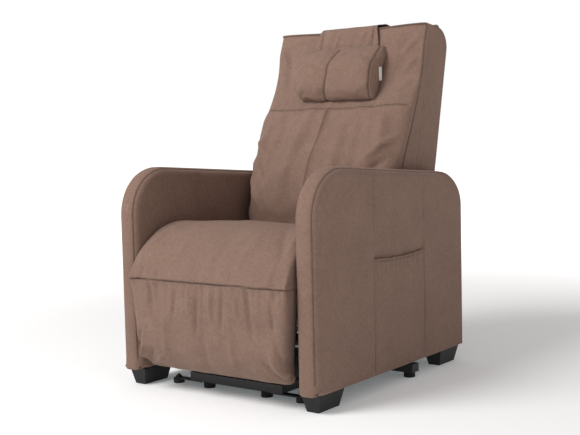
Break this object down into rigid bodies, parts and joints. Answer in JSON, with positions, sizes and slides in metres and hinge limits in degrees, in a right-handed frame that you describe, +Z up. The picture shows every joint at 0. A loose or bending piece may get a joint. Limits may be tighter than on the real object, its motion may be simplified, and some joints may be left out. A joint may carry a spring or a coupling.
{
  "type": "massage chair",
  "caption": "Suede-covered power-lift massage recliner with slab arms, a reclining back with a massage carriage, a fold-out leg rest, a roll pillow and a steel lift base.",
  "frame": {"origin": "on the floor, under the middle of the chair's box", "axes": "+Z up; the sitter faces -Y; +X to the right seen from the front"},
  "size_m": [0.7, 0.9112, 1.0612],
  "materials": {
    "suede": "matte brushed microfibre with a short nap",
    "tag_weave": "woven satin tape",
    "frame_steel": "semi-gloss black powder coat",
    "pad_rubber": "matte",
    "foot_plastic": "satin moulded",
    "drive_plastic": "fine textured",
    "chrome": "polished",
    "plywood": "raw sanded"
  },
  "bodies": {
    "base": {"front_crossbar": "frame_steel", "rear_crossbar": "frame_steel", "base_rail_left": "frame_steel", "base_rail_right": "frame_steel", "front_pad_left": "pad_rubber", "front_pad_right": "pad_rubber", "rear_pad_left": "pad_rubber", "rear_pad_right": "pad_rubber", "levelling_foot_left": "foot_plastic", "levelling_foot_right": "foot_plastic"},
    "lift_links": {"lift_torque_tube": "frame_steel", "lift_link_left": "frame_steel", "lift_link_right": "frame_steel"},
    "lift_stays": {"lift_stay_left": "frame_steel", "lift_stay_right": "frame_steel"},
    "lift_motor": {"lift_actuator_motor": "drive_plastic"},
    "lift_rod": {"lift_actuator_rod": "chrome"},
    "chair": {"arm_left": "suede", "arm_right": "suede", "block_foot_front_left": "foot_plastic", "block_foot_front_right": "foot_plastic", "block_foot_rear_left": "foot_plastic", "block_foot_rear_right": "foot_plastic", "side_pocket": "suede", "seat_cushion": "suede", "seat_deck": "plywood", "side_frame_left": "frame_steel", "side_frame_right": "frame_steel", "seat_cross_middle": "frame_steel", "seat_cross_rear": "frame_steel", "rear_panel": "suede", "control_box": "drive_plastic", "power_inlet": "drive_plastic", "leg_gearmotor": "drive_plastic"},
    "leg_rest": {"leg_cushion": "suede", "leg_board": "plywood"},
    "leg_cranks": {"leg_shaft": "frame_steel"},
    "leg_couplers": {"leg_coupler_left": "frame_steel", "leg_coupler_right": "frame_steel"},
    "backrest": {"back_rear_panel": "suede", "back_side_left": "suede", "back_side_right": "suede", "back_top_rail": "suede", "back_cushion": "suede", "back_tube_left": "frame_steel", "back_tube_right": "frame_steel", "back_cross": "frame_steel", "guide_rail_left": "chrome", "guide_rail_right": "chrome"},
    "recline_motor": {"recline_actuator_motor": "drive_plastic"},
    "recline_rod": {"recline_actuator_rod": "chrome"},
    "carriage": {"massage_carriage": "drive_plastic"},
    "knead_left": {"knead_arm_left": "drive_plastic"},
    "knead_right": {"knead_arm_right": "drive_plastic"},
    "roller_lower_left": {"roller_lower_left": "pad_rubber"},
    "roller_lower_right": {"roller_lower_right": "pad_rubber"},
    "roller_upper_left": {"roller_upper_left": "pad_rubber"},
    "roller_upper_right": {"roller_upper_right": "pad_rubber"},
    "headrest": {"headrest_pillow": "suede", "pillow_tag": "tag_weave"}
  },
  "joints": [
    {"name": "lift", "type": "hinge", "parent": "base", "child": "lift_links", "pos_m": [0, -0.2155, 0.075], "axis": [1, 0, 0], "range_deg": [0, 52]},
    {"name": "chair_tilt", "type": "hinge", "parent": "lift_links", "child": "chair", "pos_m": [0, 0.1045, 0.1], "axis": [-1, 0, 0], "range_deg": [0, 31]},
    {"name": "lift_stay_turn", "type": "hinge", "parent": "base", "child": "lift_stays", "pos_m": [0, -0.2355, 0.0919], "axis": [1, 0, 0], "range_deg": [0, 54]},
    {"name": "lift_motor_tilt", "type": "hinge", "parent": "base", "child": "lift_motor", "pos_m": [0, 0.091, 0.066], "axis": [1, 0, 0], "range_deg": [0, 7]},
    {"name": "lift_rod_slide", "type": "slide", "parent": "lift_motor", "child": "lift_rod", "axis": [0, -0.9603, 0.2789], "range_m": [0, 0.06]},
    {"name": "recline", "type": "hinge", "parent": "chair", "child": "backrest", "pos_m": [0, 0.265, 0.4], "axis": [-1, 0, 0], "range_deg": [0, 38]},
    {"name": "recline_motor_tilt", "type": "hinge", "parent": "chair", "child": "recline_motor", "pos_m": [0.1, -0.018, 0.236], "axis": [1, 0, 0], "range_deg": [0, 3]},
    {"name": "recline_rod_slide", "type": "slide", "parent": "recline_motor", "child": "recline_rod", "axis": [0, 0.9923, 0.1236], "range_m": [-0.084, 0]},
    {"name": "leg_rest_lift", "type": "hinge", "parent": "chair", "child": "leg_rest", "pos_m": [0, -0.4475, 0.325], "axis": [-1, 0, 0], "range_deg": [0, 80]},
    {"name": "leg_crank_turn", "type": "hinge", "parent": "chair", "child": "leg_cranks", "pos_m": [0, -0.2475, 0.28], "axis": [-1, 0, 0], "range_deg": [0, 80]},
    {"name": "leg_coupler_turn", "type": "hinge", "parent": "leg_cranks", "child": "leg_couplers", "pos_m": [0, -0.1645, 0.14], "axis": [1, 0, 0], "range_deg": [0, 80]},
    {"name": "carriage_travel", "type": "slide", "parent": "backrest", "child": "carriage", "axis": [0, 0.225, 0.9744], "range_m": [0, 0.355]},
    {"name": "knead_left_rock", "type": "hinge", "parent": "carriage", "child": "knead_left", "pos_m": [0, 0.29515, 0.55725], "axis": [1, 0, 0], "range_deg": [-8, 8]},
    {"name": "knead_right_rock", "type": "hinge", "parent": "carriage", "child": "knead_right", "pos_m": [0, 0.29515, 0.55725], "axis": [1, 0, 0], "range_deg": [-8, 8]},
    {"name": "roller_lower_left_spin", "type": "hinge", "parent": "knead_left", "child": "roller_lower_left", "pos_m": [0, 0.25062, 0.51108], "axis": [1, 0, 0], "continuous": true},
    {"name": "roller_upper_left_spin", "type": "hinge", "parent": "knead_left", "child": "roller_upper_left", "pos_m": [0, 0.27536, 0.61826], "axis": [1, 0, 0], "continuous": true},
    {"name": "roller_lower_right_spin", "type": "hinge", "parent": "knead_right", "child": "roller_lower_right", "pos_m": [0, 0.25062, 0.51108], "axis": [1, 0, 0], "continuous": true},
    {"name": "roller_upper_right_spin", "type": "hinge", "parent": "knead_right", "child": "roller_upper_right", "pos_m": [0, 0.27536, 0.61826], "axis": [1, 0, 0], "continuous": true},
    {"name": "headrest_flip", "type": "hinge", "parent": "backrest", "child": "headrest", "pos_m": [0, 0.29789, 1.06258], "axis": [-1, 0, 0], "range_deg": [0, 100]}
  ],
  "couplings": [
    {"joint": "chair_tilt", "follows": "lift", "ratio": 0.57692},
    {"joint": "lift_stay_turn", "follows": "lift", "ratio": 1.0208},
    {"joint": "lift_motor_tilt", "follows": "lift", "ratio": 0.12639},
    {"joint": "lift_rod_slide", "follows": "lift", "m_per_rad": 0.065292},
    {"joint": "recline_motor_tilt", "follows": "recline", "ratio": 0.067746},
    {"joint": "recline_rod_slide", "follows": "recline", "m_per_rad": -0.12521},
    {"joint": "leg_crank_turn", "follows": "leg_rest_lift", "ratio": 1},
    {"joint": "leg_coupler_turn", "follows": "leg_rest_lift", "ratio": 1},
    {"joint": "knead_right_rock", "follows": "knead_left_rock", "ratio": -1}
  ]
}
